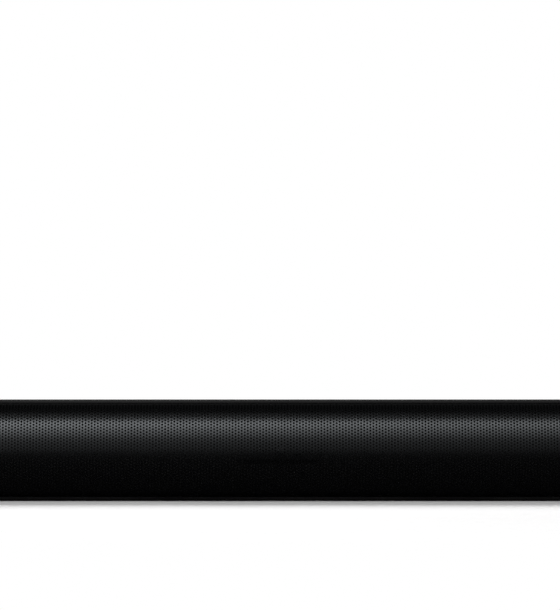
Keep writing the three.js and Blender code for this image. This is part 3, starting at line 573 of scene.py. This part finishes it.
def add_seals():
    """Foam seals that close the seams of the shell against dust and light."""
    panel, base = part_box("top_panel"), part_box("base_plate")
    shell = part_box("rear_cabinet")
    half, y = shell[1].x, shell[1].y - SEAL_INSET
    for name, z, up, gap in (
        ("top_seal", shell[1].z, 1, panel[1].z - PANEL_THICKNESS - shell[1].z),
        ("base_seal", shell[0].z, -1, shell[0].z - base[1].z),
    ):
        extruded(name, [half_round(gap, (0, 1, 0), (0, 0, up))], ((-half, y, z), (half, y, z)), FOAM)
    low, high = shell[0].z + END_SEAL_MARGIN, shell[1].z - END_SEAL_MARGIN
    for side, way in (("left", -1), ("right", 1)):
        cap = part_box(f"{side}_end_cap")
        gap = (cap[0].x if way > 0 else -cap[1].x) - half
        outline = half_round(gap, (0, 1, 0), (way, 0, 0))
        extruded(f"{side}_end_seal", [outline], ((way * half, y, low), (way * half, y, high)), FOAM)


def cross(reach, half_width):
    """The outline of a cross recess, as a radius at each angle."""

    def radius(angle):
        near, far = sorted((abs(math.cos(angle)), abs(math.sin(angle))))
        return min(reach / far, half_width / max(near, 1e-6))

    return radius


def screw(name, foot, up, head, rise):
    """A pan-head screw with a cross recess: the radius of its head and how far it rises, in millimetres."""
    recess, bottom = cross(0.55 * head, 0.16 * head), cross(0.4 * head, 0.12 * head)
    profile = [(0.96 * head, -0.05), (head, 0.12), (0.97 * head, 0.5 * rise), (0.8 * head, 0.85 * rise)]
    profile += [(0.66 * head, rise), (recess, rise), (bottom, 0.25 * rise)]
    turned(name, profile, foot, up, BLACK_STEEL)


# The screws, in millimetres: their heads' radius and rise, and where they sit. The base's have low heads that
# stay clear of the floor. The tray's are placed from the bar's middle and the foot of the tray.
BASE_HEAD, TRAY_HEAD = (2.3, 0.4), (1.9, 0.7)
BASE_ROWS = [("front", -20), ("back", 33)]
BASE_ALONG = [-330, -200, -60, 60, 200, 330]
TRAY_SCREWS = [(-81, 21.5), (-81, 6), (-20, 14), (82.2, 21.5)]


def add_screws():
    """Screws in the base, and round the sockets in the tray."""
    base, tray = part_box("base_plate")[0].z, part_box("socket_tray")[0].z
    for row, y in BASE_ROWS:
        for n, x in enumerate(BASE_ALONG):
            screw(f"base_screw_{row}_{n + 1}", (x * MM, y * MM, base), (0, 0, -1), *BASE_HEAD)
    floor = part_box("ac_inlet")[1].y
    for n, (x, up) in enumerate(TRAY_SCREWS):
        screw(f"tray_screw_{n + 1}", (x * MM, floor, tray + up * MM), (0, 1, 0), *TRAY_HEAD)


def bar_outline(u0, u1, v0, v1):
    return [(u0, v0), (u1, v0), (u1, v1), (u0, v1)]


def arc_outline(radius, half_width, start, end, steps=28):
    """The outline of a stroke bent round a circle; angles in degrees."""
    turns = [math.radians(start + (end - start) * n / steps) for n in range(steps + 1)]
    outer = [((radius + half_width) * math.cos(t), (radius + half_width) * math.sin(t)) for t in turns]
    inner = [((radius - half_width) * math.cos(t), (radius - half_width) * math.sin(t)) for t in turns]
    return outer + inner[::-1]


# The strokes of each button's icon, in millimetres from the middle of the button.
ICONS = {
    "power": [arc_outline(1.75, 0.2, 125, 415), bar_outline(-0.2, 0.2, 0.35, 2.3)],
    "source": [
        [(0.35, 2.0), (2.2, 2.0), (2.2, -2.0), (0.35, -2.0)]
        + [(0.35, -1.6), (1.8, -1.6), (1.8, 1.6), (0.35, 1.6)],
        [(-2.2, 0.2), (-0.3, 0.2), (-0.3, 0.95), (1.0, 0.0), (-0.3, -0.95), (-0.3, -0.2), (-2.2, -0.2)],
    ],
    "volume_down": [bar_outline(-1.9, 1.9, -0.22, 0.22)],
    "volume_up": [
        [(-1.9, -0.22), (-0.22, -0.22), (-0.22, -1.9), (0.22, -1.9), (0.22, -0.22), (1.9, -0.22)]
        + [(1.9, 0.22), (0.22, 0.22), (0.22, 1.9), (-0.22, 1.9), (-0.22, 0.22), (-1.9, 0.22)]
    ],
}
INK_SUNK, INK_RISE = 0.01 * MM, 0.03 * MM


def print_icons():
    """A printed icon on each button, which moves with it."""
    for button, strokes in ICONS.items():
        near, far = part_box(f"{button}_button")
        x, y = (near.x + far.x) / 2, (near.y + far.y) / 2
        outlines = [[(x + u * MM, y + v * MM) for u, v in stroke] for stroke in strokes]
        plates(f"{button}_icon", outlines, far.z - INK_SUNK, far.z + INK_RISE, INK, f"{button}_button")


# The sockets' small parts, in millimetres. Depths are from the mouth of the socket.
TONGUE_SKIN = 0.06  # a tongue covers the CAD's blade by this much
TONGUE_CHAMFER = 0.25
TONGUE_NOSE = [(1.7, 1), (1.4, 0.8)]  # depth, and share of the tongue's thickness there
CONTACT_NOSE = 2.2  # depth at which the contacts end
CONTACT_SUNK, CONTACT_RISE = 0.02, 0.06
COLLAR = [(1.82, -1.2), (1.82, 0.2), (1.95, 0.32), (3.0, 0.32), (3.2, 0.2), (3.2, 0.0)]
PIN_SLEEVE = [(1.25, 0.2), (1.25, 9.6), (1.1, 9.95), (0.7, 10.1)]
PIN_FOOT = 15  # depth of the pins' feet
PIN_SPREAD = 4.3  # from the middle of the inlet to each pin


def socket_middle(node):
    near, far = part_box(node)
    return (near.x + far.x) / 2, (near.z + far.z) / 2, far.y


def line_tongue(node, half_width, lift, thickness, depth, contacts):
    """A nylon tongue over the socket's blade, with gold contacts: [face, first, pitch, count, width]."""
    x, z, mouth = socket_middle(node)
    middle = z + lift * MM
    w, t, c = (half_width + TONGUE_SKIN) * MM, (thickness / 2 + TONGUE_SKIN) * MM, TONGUE_CHAMFER * MM
    outline = [(-w, -t + c), (-w + c, -t), (w - c, -t), (w, -t + c)]
    outline += [(w, t - c), (w - c, t), (-w + c, t), (-w, t - c)]
    rings = [
        [Vector((x + u, mouth - deep * MM, middle + v * share)) for u, v in outline]
        for deep, share in [(depth, 1)] + TONGUE_NOSE
    ]
    ringed(node.replace("socket", "tongue"), rings, NYLON)
    for face, first, pitch, count, width in contacts:
        back, nose = mouth - (depth - 1) * MM, mouth - CONTACT_NOSE * MM
        middles = [x + (first + n * pitch) * MM for n in range(count)]
        outlines = [bar_outline(u - width / 2 * MM, u + width / 2 * MM, back, nose) for u in middles]
        name = node.replace("socket", "upper_contacts" if face > 0 else "lower_contacts")
        at = middle + face * t
        plates(name, outlines, at - CONTACT_SUNK * MM, at + CONTACT_RISE * MM, GOLD)


def fit_sockets():
    """Tongues and contacts in the sockets, the jack's collar, and the sleeves of the mains pins."""
    line_tongue("hdmi_socket", 5.5, 0, 1.2, 10.9, [(1, -4.5, 1, 10, 0.45), (-1, -4, 1, 9, 0.45)])
    line_tongue("usb_socket", 4.8, 1.1, 1.9, 11.9, [(-1, -3.5, 2.33, 4, 1.0)])
    x, z, mouth = socket_middle("aux_jack")
    turned("aux_jack_collar", COLLAR, (x, mouth, z), (0, 1, 0), PLATED_STEEL, endless=True)
    x, z, mouth = socket_middle("ac_inlet")
    for side, way in (("left", -1), ("right", 1)):
        foot = (x + way * PIN_SPREAD * MM, mouth - PIN_FOOT * MM, z)
        turned(f"mains_pin_sleeve_{side}", PIN_SLEEVE, foot, (0, 1, 0), PLATED_STEEL, sides=20)


add_seals()
add_screws()
print_icons()
fit_sockets()


# ---------- studio ----------

low, high = cad_box
FRONT = low.y
BULGE_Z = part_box("grille")[0].z + BULGE_ABOVE_SEAM


def staged(name, points, faces, material):
    """A card or floor that isn't part of the bar."""
    mesh = bpy.data.meshes.new(name)
    mesh.from_pydata(points, [], faces)
    mesh.materials.append(material)
    thing = bpy.data.objects.new(name, mesh)
    scene.collection.objects.link(thing)
    return thing


def seen_white(material):
    """1 for the rays that look at the background, straight, in a gloss or through glass."""
    path = add(material, "ShaderNodeLightPath")
    seen = path.outputs["Is Camera Ray"]
    for kind in ("Is Glossy Ray", "Is Transmission Ray"):
        either = {0: seen, 1: path.outputs[kind]}
        seen = add(material, "ShaderNodeMath", either, operation="MAXIMUM").outputs[0]
    return seen


FLOOR_HALF = (2.4, 1.8)  # half the floor's length and depth
FADE_REACH = (2.2, 1.6)  # the ellipse that the fade is measured by
FADE_ENDS = (0.16, 0.5)  # the floor fades out between these shares of it


def lay_floor():
    """White card under the bar that fades into the white round it, and is clear from below."""
    card = bpy.data.materials.new("floor_card_white")
    card.use_nodes = True
    tree = card.node_tree
    tree.nodes.clear()
    where = add(card, "ShaderNodeTexCoord")
    squeeze = (1 / FADE_REACH[0], 1 / FADE_REACH[1], 1)
    flat = add(card, "ShaderNodeMapping", {"Vector": where.outputs["Object"], "Scale": squeeze})
    reach = add(card, "ShaderNodeVectorMath", {0: flat.outputs["Vector"]}, operation="LENGTH")
    ends = {"Value": reach.outputs["Value"], "From Min": FADE_ENDS[0], "From Max": FADE_ENDS[1]}
    fade = add(card, "ShaderNodeMapRange", ends, interpolation_type="SMOOTHSTEP")
    under = add(card, "ShaderNodeNewGeometry").outputs["Backfacing"]
    gone = add(card, "ShaderNodeMath", {0: fade.outputs["Result"], 1: under}, operation="MAXIMUM")
    white = add(card, "ShaderNodeBsdfDiffuse", {"Color": linear("#f8f8f8")})
    clear = add(card, "ShaderNodeBsdfTransparent")
    both = add(card, "ShaderNodeMixShader", {0: gone.outputs[0], 1: white.outputs[0], 2: clear.outputs[0]})
    add(card, "ShaderNodeOutputMaterial", {"Surface": both.outputs[0]})
    x, y = FLOOR_HALF
    corners = [(-x, -y, 0), (x, -y, 0), (x, y, 0), (-x, y, 0)]
    staged("floor", corners, [(0, 1, 2, 3)], card)


CARD_REACH = 1.7  # how far the cards hang from the bar's front
CARD_HALF = 4.0  # half their length
CARD_LIFT = 0.0004  # the black card lies this far over the floor
CARD_TUCK = 0.04  # and reaches this far under the bar
CARD_ARC = (2, 48, 150)  # degrees above the front at which the arc starts, turns to the faintly glowing grey card, and ends
# The grey card is black and glows this much, seen only in gloss: a painted reflection on the bar's upper
# corner and top.
GREY_GLOW = 0.06


def hang_cards():
    """Cards that only gloss sees keep the room out of the sheen: black over the floor and round the front,
    and a dim grey one over the top, which is black and glows faintly, so the upper corner and the top of the
    bar show a painted reflection, a dim sheen."""
    start, turn, end = CARD_ARC

    def round_front(first, last):
        angles = np.radians(np.linspace(first, last, 24))
        return [(FRONT - CARD_REACH * math.cos(a), BULGE_Z + CARD_REACH * math.sin(a)) for a in angles]

    on_floor = [(FRONT + CARD_TUCK, CARD_LIFT), (FRONT - CARD_REACH, CARD_LIFT)]
    for colour, line, glow in (
        ("black", on_floor + round_front(start, turn), 0),
        # The grey card's glow is a painted reflection: only gloss sees it, as a dim sheen on the top of the
        # bar.
        ("grey", round_front(turn, end), GREY_GLOW),
    ):
        lit = {"Emission_Color": (1, 1, 1, 1), "Emission_Strength": glow}
        paper = finish(f"{colour}_card_matt", "#000000", 1.0, Specular_IOR_Level=0, **lit)
        points = [(x, y, z) for y, z in line for x in (-CARD_HALF, CARD_HALF)]
        faces = [(2 * n, 2 * n + 1, 2 * n + 3, 2 * n + 2) for n in range(len(line) - 1)]
        card = staged(f"{colour}_card", points, faces, paper)
        for ray in ("camera", "diffuse", "transmission", "shadow"):
            setattr(card, f"visible_{ray}", False)


LAMP_DISTANCE = 1.3
LAMP_LENGTH = 2.0


def lamp(name, elevation, spread, watts, gloss=True, lean=0.0):
    """A long lamp along the bar: it faces the bulge's foremost line from that many degrees above it (0 is in
    front, 180 behind) and is spread degrees tall. With lean, it is that share brighter at its first end and
    dimmer at its last."""
    a = math.radians(elevation)
    towards = Vector((0, FRONT, BULGE_Z))
    place = towards + Vector((0, -LAMP_DISTANCE * math.cos(a), LAMP_DISTANCE * math.sin(a)))
    light = bpy.data.lights.new(name, "AREA")
    light.shape = "RECTANGLE"
    light.size, light.size_y = LAMP_LENGTH, 2 * LAMP_DISTANCE * math.tan(math.radians(spread / 2))
    light.energy = watts
    if lean:
        light.use_nodes = True
        glow = light.node_tree.nodes["Emission"]
        across = add(light, "ShaderNodeSeparateXYZ", {0: add(light, "ShaderNodeTexCoord").outputs["UV"]})
        ends = {"Value": across.outputs["X"], "To Min": 1 + lean, "To Max": 1 - lean}
        level = add(light, "ShaderNodeMapRange", ends)
        light.node_tree.links.new(level.outputs["Result"], glow.inputs["Strength"])
    thing = bpy.data.objects.new(name, light)
    thing.location = place
    thing.rotation_euler = (towards - place).to_track_quat("-Z", "Y").to_euler()
    thing.visible_camera = False
    thing.visible_glossy = gloss
    scene.collection.objects.link(thing)


# The front softbox is brightest along its top edge: elevation, height in degrees, watts.
SOFTBOX = [(37.5, 3, 3.4), (33, 6, 4.0), (25.5, 9, 3.0), (17, 7, 0.65), (9, 9, 0.5), (2.5, 4, 0.1)]
SOFTBOX_LEAN = 0.6
BACK_SOFTBOX = (150.5, 22, 36)
AMBIENT = 0.17


def light_studio():
    """The softboxes, and a world that is white to look at but gives only a little light."""
    world = bpy.data.worlds.new("studio")
    scene.world = world
    world.use_nodes = True
    world.cycles.sampling_method = "NONE"
    sky = world.node_tree.nodes["Background"]
    levels = {"Value": seen_white(world), "To Min": AMBIENT, "To Max": 1.0}
    strength = add(world, "ShaderNodeMapRange", levels)
    sky.inputs["Color"].default_value = (1, 1, 1, 1)
    world.node_tree.links.new(strength.outputs["Result"], sky.inputs["Strength"])
    for n, strip in enumerate(SOFTBOX):
        lamp(f"softbox_{n + 1}", *strip, lean=SOFTBOX_LEAN)
    lamp("back_softbox", *BACK_SOFTBOX, gloss=False)


CAMERA_DISTANCE = 2.5
SHOWN_HEIGHT = 0.4336  # metres of the bar's front plane from the top of the frame to the bottom
TOP_DROP = 0.6547  # share of the frame above the bar's top


def place_camera():
    """Level with the top of the bar, long lens, straight on."""
    camera = bpy.data.cameras.new("camera")
    camera.sensor_fit = "AUTO"
    camera.lens = camera.sensor_width * CAMERA_DISTANCE / SHOWN_HEIGHT
    camera.clip_end = 50
    thing = bpy.data.objects.new("camera", camera)
    thing.location = (0, FRONT - CAMERA_DISTANCE, high.z)
    middle = high.z + (TOP_DROP - 0.5) * SHOWN_HEIGHT
    thing.rotation_euler = (Vector((0, FRONT, middle)) - thing.location).to_track_quat("-Z", "Y").to_euler()
    scene.collection.objects.link(thing)
    scene.camera = thing


lay_floor()
hang_cards()
light_studio()
place_camera()
scene.view_settings.view_transform = "Standard"
